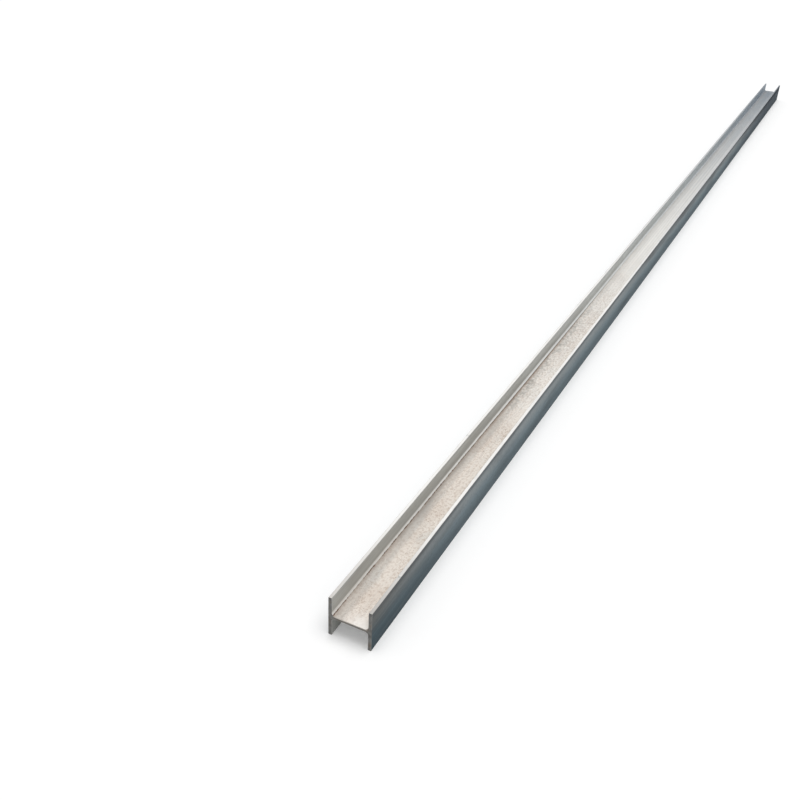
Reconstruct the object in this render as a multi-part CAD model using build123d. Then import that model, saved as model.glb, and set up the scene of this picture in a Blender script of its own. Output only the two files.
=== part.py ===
"""Hot-rolled wide-flange steel beam: one piece of stock, lying on the tips of its two flanges.

The section is a parallel-flange H, as deep as it is wide. The beam lies with its web level and
its flanges upright, so its depth runs along X, its length along Y and its flange width along Z.
The origin is the middle of the surface that the flange tips rest on.
"""
import os

from build123d import *

# Driving dimensions in millimetres.

# The rolled section, from outside to outside of the flanges and from tip to tip.
section_depth = 100.0
flange_width = 100.0
web_thickness = 6.0
flange_thickness = 8.0

# Radius of the rolls where the web runs into a flange.
root_radius = 8.0

# Radius that the edging rolls leave along the four long edges of each flange.
toe_radius = 1.6

# Mill length, sawn square at both ends.
beam_length = 6000.0

# Places that follow from the driving dimensions.
flange_middle_x = (section_depth - flange_thickness) / 2
flange_inner_x = section_depth / 2 - flange_thickness
web_middle_z = flange_width / 2
web_surface_z = web_thickness / 2


def flange_profile(side):
    """One upright flange, cut across, with its four rolled edges eased."""
    outline = RectangleRounded(flange_thickness, flange_width, toe_radius)
    return Pos(side * flange_middle_x, 0) * outline


def root_profile(side, face):
    """The concave fillet that fills one of the four corners between the web and the flanges."""
    corner = Vector(side * flange_inner_x, face * web_surface_z)
    along_web = Vector(-side * root_radius, 0)
    up_flange = Vector(0, face * root_radius)
    centre = corner + along_web + up_flange
    deepest = centre + (corner - centre).normalized() * root_radius
    curve = ThreePointArc(corner + along_web, deepest, corner + up_flange)
    return make_face(
        [
            curve,
            Line(corner + up_flange, corner),
            Line(corner, corner + along_web),
        ]
    )


def section_profile():
    """The whole rolled section as one face, centred on the middle of the web."""
    profile = Rectangle(flange_middle_x * 2, web_thickness)
    for side in (-1, 1):
        profile += flange_profile(side)
        for face in (-1, 1):
            profile += root_profile(side, face)
    return profile


# Local x of the section plane runs along X and its local y runs up, so the rolling direction is -Y.
near_end = Plane(
    origin=(0, -beam_length / 2, web_middle_z), x_dir=(1, 0, 0), z_dir=(0, -1, 0)
)
i_beam = extrude(near_end * section_profile(), amount=-beam_length)

os.makedirs("parts", exist_ok=True)
export_step(i_beam, "parts/i_beam.step")
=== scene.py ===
import math
import random
from types import SimpleNamespace

import bmesh
import bpy
from mathutils import Matrix, Vector, noise


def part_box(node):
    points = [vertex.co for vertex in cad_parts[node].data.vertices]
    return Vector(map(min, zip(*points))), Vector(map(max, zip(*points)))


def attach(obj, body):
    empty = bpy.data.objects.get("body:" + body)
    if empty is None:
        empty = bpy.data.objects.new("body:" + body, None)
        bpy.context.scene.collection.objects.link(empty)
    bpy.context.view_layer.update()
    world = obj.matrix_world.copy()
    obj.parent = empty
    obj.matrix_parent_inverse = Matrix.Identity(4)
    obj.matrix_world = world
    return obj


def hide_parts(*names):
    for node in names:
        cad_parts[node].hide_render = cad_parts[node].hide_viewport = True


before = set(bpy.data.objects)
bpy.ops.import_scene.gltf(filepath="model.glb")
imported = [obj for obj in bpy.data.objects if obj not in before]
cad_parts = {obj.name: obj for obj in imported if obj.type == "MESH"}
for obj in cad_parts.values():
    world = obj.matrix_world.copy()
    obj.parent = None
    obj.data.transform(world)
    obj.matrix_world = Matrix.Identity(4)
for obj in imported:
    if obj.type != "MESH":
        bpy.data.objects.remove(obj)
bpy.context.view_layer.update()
scene = bpy.context.scene


# The rolled beam: one length of hot-rolled wide-flange steel, its web level, its flanges upright.
# The rolls leave rounded toes, concave roots and a slow waviness. Handling nicks the flange tips,
# and the saw leaves both ends square, with a thin burr under the cut.
low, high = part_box("i_beam")
near_end, far_end = low.y, high.y
length = far_end - near_end
mid_z = (low.z + high.z) / 2
half_depth = (high.x - low.x) / 2
half_width = (high.z - low.z) / 2
web_thickness = 0.006
flange_thickness = 0.008
root_radius = 0.008
toe_radius = 0.0016
inner_x = half_depth - flange_thickness
half_web = web_thickness / 2
web_flat_x = inner_x - root_radius


def lay_section(bm):
    """The H of the sawn end as one flat face, with its roots and toes rounded."""
    root_segments, toe_segments = 8, 4
    outline = [
        (half_depth, -half_width), (half_depth, half_width), (inner_x, half_width),
        (inner_x, half_web), (-inner_x, half_web), (-inner_x, half_width),
        (-half_depth, half_width), (-half_depth, -half_width), (-inner_x, -half_width),
        (-inner_x, -half_web), (inner_x, -half_web), (inner_x, -half_width),
    ]
    corners = [bm.verts.new((x, near_end, mid_z + z)) for x, z in outline]
    bm.faces.new(corners)
    roots = [v for v in corners if abs(v.co.z - mid_z) < half_width / 2]
    toes = [v for v in corners if v not in roots]
    rounded = ((roots, root_radius, root_segments), (toes, toe_radius, toe_segments))
    for verts, radius, segments in rounded:
        bmesh.ops.bevel(
            bm, geom=verts, offset=radius, segments=segments, profile=0.5,
            affect="VERTICES", material=-1,
        )


def divide_flats(bm, longest):
    """Points across the flat stretches of the section, for the rolls' waviness."""
    for edge in bm.edges[:]:
        cuts = int(edge.calc_length() / longest)
        if cuts:
            bmesh.ops.subdivide_edges(bm, edges=[edge], cuts=cuts)


def draw_out(bm, ring_spacing, close_rings):
    """The section drawn out to the beam's length, with rings across it, some at given places."""
    section = bm.faces[:]
    drawn = bmesh.ops.extrude_face_region(bm, geom=section, use_keep_orig=True)["geom"]
    far_section = [part for part in drawn if isinstance(part, bmesh.types.BMVert)]
    bmesh.ops.translate(bm, verts=far_section, vec=(0, length, 0))
    long_edges = [e for e in bm.edges if abs(e.verts[0].co.y - e.verts[1].co.y) > length / 2]
    rings = round(length / ring_spacing) - 1
    bmesh.ops.subdivide_edges(bm, edges=long_edges, cuts=rings, use_grid_fill=True)
    step = length / (rings + 1)
    for vert in bm.verts:
        vert.co.y = near_end + round((vert.co.y - near_end) / step) * step
    for y in close_rings:
        bmesh.ops.bisect_plane(
            bm, geom=bm.verts[:] + bm.edges[:] + bm.faces[:],
            plane_co=(0, y, 0), plane_no=(0, 1, 0),
        )
    bmesh.ops.recalc_face_normals(bm, faces=bm.faces[:])


def wave_surface(bm, swell, ripple):
    """Moves the rolled faces in and out by fractions of a millimetre."""
    long_wave = Vector((9.0, 1.3, 9.0))
    short_wave = Vector((34.0, 16.0, 34.0))
    bm.normal_update()
    moves = []
    for vert in bm.verts:
        skin = vert.normal * Vector((1, 0, 1))
        slow = noise.noise(vert.co * long_wave)
        quick = noise.noise(vert.co * short_wave)
        moves.append(skin * (slow * swell + quick * ripple))
    for vert, move in zip(bm.verts, moves):
        vert.co += move


def dent_tips(bm, dents):
    """Knocks dents into the flange tips, each on its side and face, at its place."""
    tip_zone = 0.004
    for vert in bm.verts:
        height = vert.co.z - mid_z
        if half_width - abs(height) > tip_zone:
            continue
        for side, face, y, reach, sink in dents:
            if side * vert.co.x > 0 and face * height > 0:
                closeness = math.exp(-(((vert.co.y - y) / reach) ** 2))
                vert.co.z -= face * sink * closeness


def throw_burr(bm, burr_depth, burr_drop):
    """Drags the underside of the web down a little at each sawn end, as the blade does."""
    tooth_marks = 300
    mean_drag = 0.5
    for vert in bm.verts:
        from_end = min(vert.co.y - near_end, far_end - vert.co.y)
        under_web = abs(vert.co.x) < inner_x and -web_thickness < vert.co.z - mid_z < 0
        if under_web and from_end < burr_depth / 2:
            ragged = mean_drag + noise.noise(Vector((vert.co.x * tooth_marks, vert.co.y, 0)))
            vert.co.z -= burr_drop * ragged


def mark_faces(mesh):
    """Stores how far each point of the surface faces up, and shades the sawn ends flat."""
    sawn_facing = 0.7
    facing_up = mesh.attributes.new("facing_up", "FLOAT", "POINT")
    facing_up.data.foreach_set("value", [vert.normal.z for vert in mesh.vertices])
    for face in mesh.polygons:
        face.use_smooth = abs(face.normal.y) < sawn_facing


# A dent is its side, its face, its place along the beam, its reach and its depth.
near_nick = (1, 1, near_end + 0.123, 0.0026, 0.0022)
far_nick = (-1, 1, near_end + 0.690, 0.0080, 0.0008)
dents = [near_nick, far_nick]
dent_count = 48
dent_reach = (0.008, 0.018)
dent_sink = (0.0002, 0.0006)
picks = random.Random(7)
for _ in range(dent_count):
    dents.append((
        picks.choice((-1, 1)), picks.choice((-1, 1)), picks.uniform(near_end, far_end),
        picks.uniform(*dent_reach), picks.uniform(*dent_sink),
    ))

# Rings stand closer at the burrs and round the sharper nick.
burr_depth = 0.0012
nick_y, nick_reach = near_nick[2:4]
close_rings = [near_end + burr_depth, far_end - burr_depth]
close_rings += [nick_y + share * nick_reach for share in (-2, -1, 0, 1, 2)]

beam_mesh = bpy.data.meshes.new("rolled_beam")
bm = bmesh.new()
lay_section(bm)
divide_flats(bm, longest=0.011)
draw_out(bm, ring_spacing=0.0092, close_rings=close_rings)
wave_surface(bm, swell=0.0003, ripple=0.00008)
dent_tips(bm, dents)
throw_burr(bm, burr_depth, burr_drop=0.0004)
for vert in bm.verts:
    vert.co.z = max(vert.co.z, low.z)
bm.to_mesh(beam_mesh)
bm.free()
mark_faces(beam_mesh)

beam = bpy.data.objects.new("rolled_beam", beam_mesh)
scene.collection.objects.link(beam)
even_normals = beam.modifiers.new("even_normals", "WEIGHTED_NORMAL")
even_normals.keep_sharp = True


def linear(red, green, blue):
    """A colour as the eye reads it, 0 to 255, turned into the renderer's own scale."""
    shares = [value / 255 for value in (red, green, blue)]
    curve = [s / 12.92 if s <= 0.04045 else ((s + 0.055) / 1.055) ** 2.4 for s in shares]
    return (*curve, 1.0)


def in_use(sockets, name):
    """The socket with that name or number which the node's settings leave in use."""
    if isinstance(name, int):
        return sockets[name]
    return next(socket for socket in sockets if socket.name == name and socket.enabled)


def add(tree, kind, sockets=None, **settings):
    """A node, with its settings, and each named socket given a value or a link."""
    made = tree.nodes.new(kind)
    for name, value in settings.items():
        setattr(made, name, value)
    for name, value in (sockets or {}).items():
        socket = in_use(made.inputs, name)
        if isinstance(value, bpy.types.NodeSocket):
            tree.links.new(value, socket)
        else:
            socket.default_value = value
    return made


def maths(tree, operation, first, second=0.0):
    """One sum on two numbers or masks."""
    return add(tree, "ShaderNodeMath", {0: first, 1: second}, operation=operation).outputs[0]


def ramp(tree, value, start, end, from_low=0.0, to_high=1.0, curve="SMOOTHSTEP"):
    """A mask that goes from one level to another as value goes from start to end."""
    sockets = {
        "Value": value, "From Min": start, "From Max": end, "To Min": from_low, "To Max": to_high,
    }
    return add(tree, "ShaderNodeMapRange", sockets, interpolation_type=curve).outputs["Result"]


def masked(tree, *masks):
    """Masks, or fixed shares, multiplied together."""
    result = masks[0]
    for mask in masks[1:]:
        result = maths(tree, "MULTIPLY", result, mask)
    return result


def tint(tree, share, under, over):
    """One colour laid over another by a mask."""
    sockets = {"Factor": share, "A": under, "B": over}
    mix = add(tree, "ShaderNodeMix", sockets, data_type="RGBA")
    return in_use(mix.outputs, "Result")


def lay(tree, under, over, strength, *masks):
    """One colour laid over another where all the masks are open, up to a strength."""
    return tint(tree, masked(tree, *masks, strength), under, over)


def shade_along(tree, y, shades, turn_start, turn_end, far_start):
    """One finish as it goes along the beam: its near, middle and far shade."""
    near, middle, far = shades
    colour = tint(tree, ramp(tree, y, turn_start, turn_end, curve="LINEAR"), near, middle)
    return tint(tree, ramp(tree, y, far_start, far_end, curve="LINEAR"), colour, far)


def patches_group():
    """Patches of a finish, drawn out along the beam as the rolls leave them, as a mask."""
    group = bpy.data.node_groups.new("patches", "ShaderNodeTree")
    sockets = group.interface
    sockets.new_socket("Place", in_out="INPUT", socket_type="NodeSocketVector")
    for name in ("Across", "Along", "Detail", "Start", "End", "Shift"):
        sockets.new_socket(name, in_out="INPUT", socket_type="NodeSocketFloat")
    sockets.new_socket("Mask", in_out="OUTPUT", socket_type="NodeSocketFloat")
    inlet = group.nodes.new("NodeGroupInput").outputs
    stretch = add(
        group, "ShaderNodeCombineXYZ",
        {"X": inlet["Across"], "Y": inlet["Along"], "Z": inlet["Across"]},
    ).outputs[0]
    stretched = add(
        group, "ShaderNodeVectorMath", {0: inlet["Place"], 1: stretch}, operation="MULTIPLY",
    ).outputs[0]
    shifted = add(
        group, "ShaderNodeVectorMath", {0: stretched, 1: inlet["Shift"]}, operation="ADD",
    ).outputs[0]
    cloud = add(
        group, "ShaderNodeTexNoise", {"Vector": shifted, "Scale": 1.0, "Detail": inlet["Detail"]},
    ).outputs["Fac"]
    mask = ramp(group, cloud, inlet["Start"], inlet["End"])
    outlet = group.nodes.new("NodeGroupOutput")
    group.links.new(mask, outlet.inputs["Mask"])
    return group


patches = patches_group()


def patch(tree, place, across, along, start, end, detail=4.0, shift=0.0):
    """The patches group placed in a material: so many patches a metre each way, and its cover."""
    sockets = {
        "Place": place, "Across": across, "Along": along, "Start": start, "End": end,
        "Detail": detail, "Shift": shift,
    }
    return add(tree, "ShaderNodeGroup", sockets, node_tree=patches).outputs["Mask"]


def find_place(tree):
    """Where a point lies on the beam: across it, along it, up it and round its roots."""
    place = add(tree, "ShaderNodeTexCoord").outputs["Object"]
    apart = add(tree, "ShaderNodeSeparateXYZ", {"Vector": place}).outputs
    across = maths(tree, "ABSOLUTE", apart["X"])
    height = maths(tree, "SUBTRACT", apart["Z"], mid_z)
    from_mid = maths(tree, "ABSOLUTE", height)
    return SimpleNamespace(
        place=place, x=apart["X"], y=apart["Y"], across=across, height=height,
        from_mid=from_mid, reach=maths(tree, "ADD", across, from_mid),
    )


# Reach grows from the middle of the web, round the root and up the flange.
root_foot = web_flat_x + half_web
root_head = inner_x + half_web + root_radius
root_mid = (root_foot + root_head) / 2


def bare_scale(tree, on):
    """The bare mill finish inside the flanges, with faint streaks of the rolls, darkened and
    blued towards the far end by painted shade.
    """
    near, middle, far = linear(194, 195, 191), linear(215, 218, 217), linear(168, 180, 191)
    dark_streak, drab_strip = linear(120, 122, 122), linear(112, 113, 112)
    cloud_brown = linear(136, 124, 108)
    bare = shade_along(tree, on.y, (near, middle, far), near_end, near_end * 0.4, near_end * 0.3)
    streaks = patch(tree, on.place, across=240.0, along=1.6, start=0.36, end=0.66, detail=5.0)
    bare = lay(tree, bare, dark_streak, 0.16, streaks)
    above_root = ramp(tree, on.reach, root_head + half_width * 0.5, root_head)
    near_half = ramp(tree, on.y, far_end * 0.25, near_end * 0.2)
    off_end = ramp(tree, on.y, near_end, near_end * 0.75, from_low=0.3)
    bare = lay(tree, bare, drab_strip, 0.30, above_root, near_half, off_end)
    clouds = patch(
        tree, on.place, across=30.0, along=7.0, start=0.46, end=0.70, detail=5.0, shift=2.0,
    )
    return lay(tree, bare, cloud_brown, 0.12, clouds)


def painted_root_highlight(tree, on, under):
    """The root as a lighter band: a painted highlight on its curve, darkened towards the far end
    by painted shade.
    """
    near, middle, far = linear(232, 230, 226), linear(250, 251, 249), linear(146, 154, 163)
    band = shade_along(tree, on.y, (near, middle, far), near_end, near_end * 0.8, near_end * 0.75)
    from_dust = ramp(tree, on.off_edge, 0.0002, 0.0014)
    to_flange = ramp(tree, on.reach, root_head + 0.0032, root_head - 0.0004)
    return tint(tree, masked(tree, from_dust, to_flange, on.upper_side), under, band)


def outer_face(tree, on):
    """The outer faces: neutral below the tip, bluer and darker further down, partly bluish scale
    and partly painted shade and a painted sky reflection.
    """
    top, top_near = linear(152, 158, 160), linear(109, 111, 110)
    low_down, low_near = linear(124, 138, 144), linear(82, 97, 104)
    by_end = ramp(tree, on.y, near_end * 0.85, near_end, curve="LINEAR")
    upper = tint(tree, by_end, top, top_near)
    lower = tint(tree, by_end, low_down, low_near)
    # The lower part: bluish scale with painted shade and a painted sky reflection.
    face = tint(tree, ramp(tree, on.height, half_width * 0.7, -half_width * 0.2), upper, lower)

    # A dark band under the tip as painted shade, and a broad dark strip halfway along.
    painted_tip_shade, dark_strip = linear(72, 76, 80), linear(70, 76, 80)
    under_tip_shade = ramp(tree, on.height, half_width * 0.62, half_width * 0.88)
    off_end = ramp(tree, on.y, near_end, near_end * 0.93, from_low=0.55)
    face = lay(tree, face, painted_tip_shade, 0.55, under_tip_shade, off_end)
    strip = masked(
        tree, ramp(tree, on.height, half_width * 0.20, half_width * 0.60),
        ramp(tree, on.height, half_width * 0.96, half_width * 0.76),
        ramp(tree, on.y, near_end * 0.42, near_end * 0.15),
        ramp(tree, on.y, far_end * 0.38, far_end * 0.20),
    )
    face = lay(tree, face, dark_strip, 0.45, strip)

    # Brown smears, pale drawn streaks and dark grit.
    smear_brown, pale_streak = linear(76, 74, 72), linear(150, 160, 166)
    grit_grey = linear(84, 88, 92)
    smears = patch(
        tree, on.place, across=22.0, along=3.4, start=0.46, end=0.70, detail=7.0, shift=3.0,
    )
    face = lay(tree, face, smear_brown, 0.34, smears)
    drawn = patch(
        tree, on.place, across=120.0, along=3.0, start=0.42, end=0.70, detail=7.0, shift=29.0,
    )
    face = lay(tree, face, pale_streak, 0.16, drawn)
    grit = patch(
        tree, on.place, across=210.0, along=150.0, start=0.46, end=0.66, detail=5.0, shift=31.0,
    )
    face = lay(tree, face, grit_grey, 0.18, grit)

    # Painted shade: the right-hand face darkens towards the far end, and both darken towards the
    # foot.
    far_top, far_low, foot = linear(47, 54, 61), linear(79, 87, 94), linear(59, 70, 76)
    painted_far_shade = tint(
        tree, ramp(tree, on.height, half_width * 0.7, half_width * 0.3), far_top, far_low,
    )
    far_shade_mask = masked(tree, ramp(tree, on.y, far_end * 0.15, far_end * 0.9), on.right_side)
    face = tint(tree, far_shade_mask, face, painted_far_shade)
    foot_shade_mask = ramp(tree, on.height, half_width * 0.05, -half_width * 0.6)
    return lay(tree, face, foot, 0.40, foot_shade_mask)


def freckled_dust(tree, on):
    """Dust on the upper side of the web: warm and freckled near, plainer far off, and darkened to
    grey far off by painted shade.
    """
    near, middle, far = linear(234, 226, 217), linear(236, 234, 230), linear(138, 147, 155)
    dust = shade_along(
        tree, on.y, (near, middle, far), near_end * 0.80, near_end * 0.20, near_end * 0.15,
    )
    freckled = ramp(
        tree, on.y, near_end * 0.25, near_end * 0.55, from_low=0.22, curve="LINEAR",
    )
    tan, clean_grey, brown = linear(192, 170, 152), linear(206, 206, 202), linear(172, 148, 128)
    blotches = patch(
        tree, on.place, across=26.0, along=11.0, start=0.42, end=0.70, detail=8.0, shift=1.0,
    )
    dust = lay(tree, dust, tan, 0.28, blotches, freckled)
    cleaner = patch(
        tree, on.place, across=17.0, along=8.0, start=0.46, end=0.68, detail=6.0, shift=67.0,
    )
    dust = lay(tree, dust, clean_grey, 0.40, cleaner, freckled)
    mottle = patch(
        tree, on.place, across=150.0, along=115.0, start=0.46, end=0.64, detail=7.0, shift=9.0,
    )
    dust = lay(tree, dust, brown, 0.32, mottle, freckled)

    # Rust freckles, thicker in clusters.
    freckle_brown = linear(150, 116, 92)
    freckles = patch(
        tree, on.place, across=400.0, along=310.0, start=0.53, end=0.74, detail=6.0, shift=11.0,
    )
    clusters = patch(
        tree, on.place, across=24.0, along=11.0, start=0.42, end=0.60, detail=5.0, shift=61.0,
    )
    clusters = maths(tree, "ADD", masked(tree, clusters, 0.50), 0.30)
    dust = tint(tree, masked(tree, freckles, freckled, clusters), dust, freckle_brown)

    # Further on: a stretch swept paler, then coarser specks and pale flecks.
    pale, fleck_white = linear(250, 246, 240), linear(252, 249, 244)
    speck_brown = linear(156, 138, 124)
    swept = masked(
        tree, ramp(tree, on.y, near_end * 0.74, near_end * 0.68),
        ramp(tree, on.y, near_end * 0.53, near_end * 0.63),
        ramp(tree, on.x, -web_flat_x * 0.7, web_flat_x * 0.5),
    )
    dust = lay(tree, dust, pale, 0.48, swept)
    further_on = masked(
        tree, ramp(tree, on.y, near_end * 0.78, near_end * 0.62),
        ramp(tree, on.y, near_end * 0.24, near_end * 0.44),
    )
    specks = patch(
        tree, on.place, across=190.0, along=95.0, start=0.50, end=0.64, detail=7.0, shift=47.0,
    )
    dust = lay(tree, dust, speck_brown, 0.34, specks, further_on)
    flecks = patch(
        tree, on.place, across=170.0, along=85.0, start=0.50, end=0.66, detail=7.0, shift=53.0,
    )
    dust = lay(tree, dust, fleck_white, 0.60, flecks, further_on)

    # Far off, the rolls' lanes show through.
    lane_blue = linear(146, 155, 161)
    lanes = patch(
        tree, on.place, across=170.0, along=0.5, start=0.43, end=0.58, detail=3.0, shift=7.0,
    )
    lane_share = ramp(tree, on.y, near_end * 0.4, far_end * 0.3, from_low=0.10, to_high=0.24)
    return tint(tree, masked(tree, lanes, lane_share), dust, lane_blue)


def web_lanes(tree, on, dust):
    """A greyer lane by the left root, a cleaner one by the right, and a stain at both roots."""
    lane_grey, dab_grey = linear(160, 158, 154), linear(150, 149, 144)
    left_lane = ramp(tree, on.x, -web_flat_x * 0.15, -web_flat_x * 0.95)
    broken = patch(tree, on.place, across=14.0, along=3.0, start=0.32, end=0.58, shift=5.0)
    cover = maths(tree, "ADD", masked(tree, broken, 0.3), 0.24)
    fading = ramp(tree, on.y, near_end * 0.78, near_end * 0.65, from_low=1.4, to_high=0.6)
    dust = tint(tree, masked(tree, left_lane, cover, fading), dust, lane_grey)
    dabs = patch(
        tree, on.place, across=105.0, along=62.0, start=0.47, end=0.60, detail=6.0, shift=71.0,
    )
    dabbed = masked(
        tree, ramp(tree, on.x, -web_flat_x * 0.05, -web_flat_x * 0.8),
        ramp(tree, on.y, near_end * 0.74, near_end * 0.66),
        ramp(tree, on.y, near_end * 0.37, near_end * 0.48),
    )
    dust = lay(tree, dust, dab_grey, 0.50, dabs, dabbed)

    clean, stain_brown = linear(228, 229, 228), linear(140, 118, 102)
    right_lane = masked(
        tree, ramp(tree, on.x, 0.0, web_flat_x), ramp(tree, on.y, near_end * 0.2, far_end * 0.1),
    )
    dust = lay(tree, dust, clean, 0.36, right_lane)
    at_foot = masked(
        tree, ramp(tree, on.reach, root_foot - 0.0060, root_foot + 0.0030),
        ramp(tree, on.y, near_end * 0.38, near_end * 0.58, from_low=0.15),
        ramp(tree, on.y, near_end * 0.80, near_end * 0.66, from_low=0.28, to_high=0.58),
    )
    return tint(tree, at_foot, dust, stain_brown)


def scraped_edge(tree, on, dust):
    """The web scraped cleaner along its near edge, most to the right."""
    scrape_length = 0.050
    pale = linear(250, 247, 243)
    by_edge = ramp(tree, on.y, near_end + scrape_length, near_end)
    to_right = ramp(tree, on.x, -web_flat_x, web_flat_x)
    return lay(tree, dust, pale, 0.8, by_edge, to_right)


def rust_line(tree, on, under):
    """Broken dashes of rust in the root, where water lodges, thinning out to a fine line."""
    line_brown, rust_brown = linear(106, 94, 86), linear(98, 72, 56)
    halo_tan = linear(156, 130, 110)
    line_offset = 0.0003
    off_line = maths(tree, "ABSOLUTE", maths(tree, "ADD", on.off_edge, line_offset))
    fine_line = masked(
        tree, ramp(tree, off_line, 0.0018, 0.0006), on.upper_side,
        ramp(tree, on.y, near_end * 0.20, near_end * 0.50, from_low=0.04, to_high=0.95),
        ramp(tree, on.y, near_end * 0.86, near_end * 0.66),
    )
    colour = tint(tree, fine_line, under, line_brown)

    raggedness = 0.0022
    ragged = patch(
        tree, on.place, across=300.0, along=190.0, start=0.28, end=0.72, detail=6.0, shift=41.0,
    )
    off_line = maths(tree, "ADD", off_line, masked(tree, ragged, raggedness))
    rusty = masked(tree, ramp(tree, on.y, near_end * 0.42, near_end * 0.88), on.upper_side)
    colour = lay(tree, colour, halo_tan, 0.20, ramp(tree, off_line, 0.0042, 0.0015), rusty)
    dashes = patch(
        tree, on.place, across=30.0, along=52.0, start=0.42, end=0.52, detail=7.0, shift=13.0,
    )
    line = ramp(tree, off_line, 0.0031, 0.0015)
    return lay(tree, colour, rust_brown, 0.95, line, dashes, rusty)


def rubbed_tip_highlight(tree, on):
    """The colour of the rubbed tips with a painted highlight, brightest past the near end, and
    dullest at the far end by painted shade.
    """
    near_left, near_right = linear(206, 203, 199), linear(187, 184, 180)
    near = tint(tree, on.right_side, near_left, near_right)
    middle, far = linear(240, 239, 236), linear(116, 124, 133)
    return shade_along(tree, on.y, (near, middle, far), near_end, near_end * 0.9, near_end * 0.4)


def rolled_steel():
    """Grey mill finish: dusty on the web, clean on the flanges, rubbed and painted with a
    highlight on the tips.
    """
    material = bpy.data.materials.new("rolled_steel")
    material.use_nodes = True
    tree = material.node_tree
    shader = tree.nodes["Principled BSDF"]
    on = find_place(tree)
    facing_up = add(
        tree, "ShaderNodeAttribute", attribute_name="facing_up", attribute_type="GEOMETRY",
    ).outputs["Fac"]
    on.upper_side = ramp(tree, facing_up, -0.1, 0.2)
    on.right_side = ramp(tree, on.x, 0.0, inner_x)

    # The dust stops in the root, further down it past the near stretch.
    edge_near, edge_further = root_mid - 0.0008, root_mid - 0.0030
    dust_edge = ramp(tree, on.y, near_end * 0.80, near_end * 0.60, edge_near, edge_further)
    on.off_edge = maths(tree, "SUBTRACT", on.reach, dust_edge)
    dusty = masked(tree, ramp(tree, on.off_edge, 0.0006, -0.0006), on.upper_side)
    outside = ramp(tree, on.across, half_depth - 0.0013, half_depth - 0.0004)

    colour = painted_root_highlight(tree, on, bare_scale(tree, on))
    colour = tint(tree, outside, colour, outer_face(tree, on))
    dust = scraped_edge(tree, on, web_lanes(tree, on, freckled_dust(tree, on)))
    colour = tint(tree, dusty, colour, dust)
    colour = rust_line(tree, on, colour)

    # The tips are rubbed and carry a painted highlight everywhere, fully where they were scuffed.
    least_rubbed, scuff_share = 0.6, 0.4
    on_tip = ramp(tree, on.from_mid, half_width - 0.0011, half_width - 0.0003)
    scuffs = patch(tree, on.place, across=90.0, along=12.0, start=0.30, end=0.46, shift=17.0)
    scuffed = maths(tree, "ADD", masked(tree, scuffs, scuff_share), least_rubbed)
    rubbed = masked(tree, on_tip, scuffed)
    colour = tint(tree, rubbed, colour, rubbed_tip_highlight(tree, on))
    tree.links.new(colour, shader.inputs["Base Color"])

    # Dust is dull, bare scale has a low sheen, and the rubbed tips shine a little.
    bare_roughness, dust_roughness, tip_polish, bare_metal = 0.55, 0.9, 0.15, 0.25
    dull = maths(tree, "MAXIMUM", dusty, masked(tree, outside, 0.7))
    sheen = ramp(tree, dull, 0.0, 1.0, from_low=bare_roughness, to_high=dust_roughness)
    sheen = maths(tree, "SUBTRACT", sheen, masked(tree, rubbed, tip_polish))
    tree.links.new(sheen, shader.inputs["Roughness"])
    covered = maths(tree, "MAXIMUM", dusty, outside)
    metal = masked(tree, maths(tree, "SUBTRACT", 1.0, covered), bare_metal)
    tree.links.new(metal, shader.inputs["Metallic"])
    shader.inputs["Specular IOR Level"].default_value = 0.06

    # Scale pits and roll lines too fine to be in the mesh.
    pits = patch(tree, on.place, across=520.0, along=380.0, start=0.3, end=0.7, shift=19.0)
    lines = patch(
        tree, on.place, across=900.0, along=7.0, start=0.3, end=0.7, detail=2.0, shift=23.0,
    )
    relief = maths(tree, "ADD", pits, masked(tree, lines, 0.5))
    bump = add(
        tree, "ShaderNodeBump", {"Strength": 0.35, "Distance": 0.0003, "Height": relief},
    ).outputs["Normal"]
    tree.links.new(bump, shader.inputs["Normal"])
    return material


def blade_arcs(tree, on):
    """Arcs that the blade's teeth leave, about 2 mm apart and worn away in places, as a mask."""
    blade_middle = (0.4, 0.0, 0.7)
    from_blade = add(
        tree, "ShaderNodeVectorMath", {0: on.place, 1: blade_middle}, operation="SUBTRACT",
    ).outputs[0]
    arcs = add(
        tree, "ShaderNodeTexWave",
        {"Vector": from_blade, "Scale": 160.0, "Distortion": 2.5, "Detail": 3.0},
        wave_type="RINGS", rings_direction="Y",
    ).outputs["Fac"]
    worn = patch(tree, on.place, across=60.0, along=60.0, start=0.34, end=0.60, shift=43.0)
    return masked(tree, arcs, worn)


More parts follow.
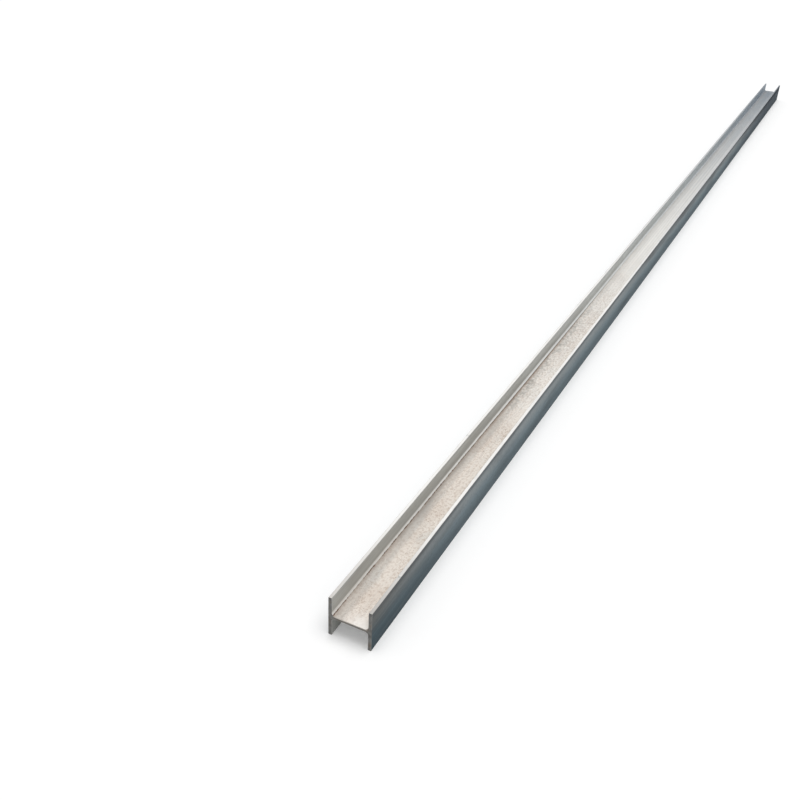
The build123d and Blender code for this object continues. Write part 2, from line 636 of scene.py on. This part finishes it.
def sawn_steel():
    """The cut steel of the two ends: dull grey with fine arcs of the blade and a brown stain."""
    material = bpy.data.materials.new("sawn_steel")
    material.use_nodes = True
    tree = material.node_tree
    shader = tree.nodes["Principled BSDF"]
    on = find_place(tree)
    cut_grey, dark_grey = linear(112, 112, 110), linear(86, 86, 84)
    stain_brown = linear(106, 90, 74)
    mottle = patch(tree, on.place, across=90.0, along=90.0, start=0.40, end=0.62, detail=5.0)
    colour = tint(tree, mottle, cut_grey, dark_grey)
    stain = patch(
        tree, on.place, across=40.0, along=40.0, start=0.48, end=0.64, detail=6.0, shift=3.0,
    )
    colour = lay(tree, colour, stain_brown, 0.6, stain)

    # The web's rims: pale dust with a painted highlight along the upper one, rust along the lower
    # one.
    rim_dust_and_highlight, rim_rust = linear(206, 200, 190), linear(122, 110, 96)
    in_web = ramp(tree, on.across, inner_x, web_flat_x)
    from_top = maths(tree, "SUBTRACT", half_web, on.height)
    upper_rim_highlight = masked(tree, ramp(tree, from_top, 0.0024, 0.0012), in_web)
    colour = lay(tree, colour, rim_dust_and_highlight, 0.85, upper_rim_highlight)
    lower_rim = masked(
        tree, ramp(tree, from_top, web_thickness * 0.6, web_thickness * 0.85), in_web,
    )
    colour = lay(tree, colour, rim_rust, 0.6, lower_rim)

    # The arrises of the flanges, rubbed lighter here and there, which also paints a highlight on
    # the edges.
    arris_wear_and_highlight = linear(178, 180, 178)
    flange_mid_x = (inner_x + half_depth) / 2
    off_middle = maths(tree, "ABSOLUTE", maths(tree, "SUBTRACT", on.across, flange_mid_x))
    arris = masked(
        tree, ramp(tree, off_middle, flange_thickness * 0.32, flange_thickness * 0.46),
        ramp(tree, on.across, inner_x - 0.0002, inner_x),
        ramp(tree, on.from_mid, half_web + root_radius * 0.4, half_web + root_radius),
        patch(tree, on.place, across=30.0, along=30.0, start=0.36, end=0.56, shift=37.0),
    )
    colour = lay(tree, colour, arris_wear_and_highlight, 0.5, arris)

    arc_grey = linear(148, 148, 145)
    arcs = blade_arcs(tree, on)
    colour = lay(tree, colour, arc_grey, 0.30, arcs)
    tree.links.new(colour, shader.inputs["Base Color"])
    shader.inputs["Roughness"].default_value = 0.55
    shader.inputs["Metallic"].default_value = 0.4
    bump = add(
        tree, "ShaderNodeBump", {"Strength": 0.6, "Distance": 0.0003, "Height": arcs},
    ).outputs["Normal"]
    tree.links.new(bump, shader.inputs["Normal"])
    return material


beam_mesh.materials.append(rolled_steel())
beam_mesh.materials.append(sawn_steel())
for face in beam_mesh.polygons:
    face.material_index = 0 if face.use_smooth else 1

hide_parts("i_beam")
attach(beam, "root")


# The floor: one flat sheet of plain pale studio floor, which the flange tips rest on.
# It is much wider than the beam is long, and glows a little to the eye, so that it comes out
# white and still keeps the beam's shadow.
floor_size = 80.0
floor_mesh = bpy.data.meshes.new("floor")
bm = bmesh.new()
bmesh.ops.create_grid(bm, x_segments=1, y_segments=1, size=floor_size / 2)
bm.to_mesh(floor_mesh)
bm.free()
floor = bpy.data.objects.new("floor", floor_mesh)
scene.collection.objects.link(floor)


def seen_by_eye(tree):
    """The rays that reach the eye straight, off a gloss or through glass, as a mask."""
    rays = add(tree, "ShaderNodeLightPath").outputs
    seen = maths(tree, "MAXIMUM", rays["Is Camera Ray"], rays["Is Glossy Ray"])
    return maths(tree, "MAXIMUM", seen, rays["Is Transmission Ray"])


floor_glow = 0.22
floor_paint = bpy.data.materials.new("floor_paint")
floor_paint.use_nodes = True
tree = floor_paint.node_tree
shader = tree.nodes["Principled BSDF"]
shader.inputs["Base Color"].default_value = (0.8, 0.8, 0.8, 1)
shader.inputs["Roughness"].default_value = 0.9
shader.inputs["Specular IOR Level"].default_value = 0.0
shader.inputs["Emission Color"].default_value = (1, 1, 1, 1)
glow = maths(tree, "MULTIPLY", seen_by_eye(tree), floor_glow)
tree.links.new(glow, shader.inputs["Emission Strength"])
floor_mesh.materials.append(floor_paint)


# The studio light: one wide soft lamp overhead and an even pale room all round.
# The room lights the steel at half its strength and shows white to the eye.
lamp_spread = math.radians(50)
lamp_turn = (math.radians(-3), math.radians(6), 0)
key = bpy.data.objects.new("key", bpy.data.lights.new("key", "SUN"))
key.data.energy = 1.7
key.data.angle = lamp_spread
key.rotation_euler = lamp_turn
scene.collection.objects.link(key)

room_light, room_white = 0.5, 1.0
room = bpy.data.worlds.new("room")
scene.world = room
room.use_nodes = True
tree = room.node_tree
backdrop = tree.nodes["Background"]
backdrop.inputs["Color"].default_value = (1, 1, 1, 1)
strength = ramp(tree, seen_by_eye(tree), 0.0, 1.0, from_low=room_light, to_high=room_white)
tree.links.new(strength, backdrop.inputs["Strength"])

scene.view_settings.view_transform = "Standard"


# The viewpoint: the eye of someone standing near the right-hand side of the near end.
# It looks down along the beam, so that the trough, one outer flange and both ends are in view.
eye = Vector((0.6547, -4.1744, 1.3710))
heading = math.radians(25.74)
tilt_down = math.radians(30.64)
roll = math.radians(2.62)
level_look = math.radians(90.0)

viewpoint = bpy.data.objects.new("viewpoint", bpy.data.cameras.new("viewpoint"))
viewpoint.data.sensor_width = 36.0
viewpoint.data.lens = 41.146
viewpoint.data.clip_end = 200.0
viewpoint.matrix_world = (
    Matrix.Translation(eye)
    @ Matrix.Rotation(heading, 4, "Z")
    @ Matrix.Rotation(level_look - tilt_down, 4, "X")
    @ Matrix.Rotation(roll, 4, "Z")
)
scene.collection.objects.link(viewpoint)
scene.camera = viewpoint
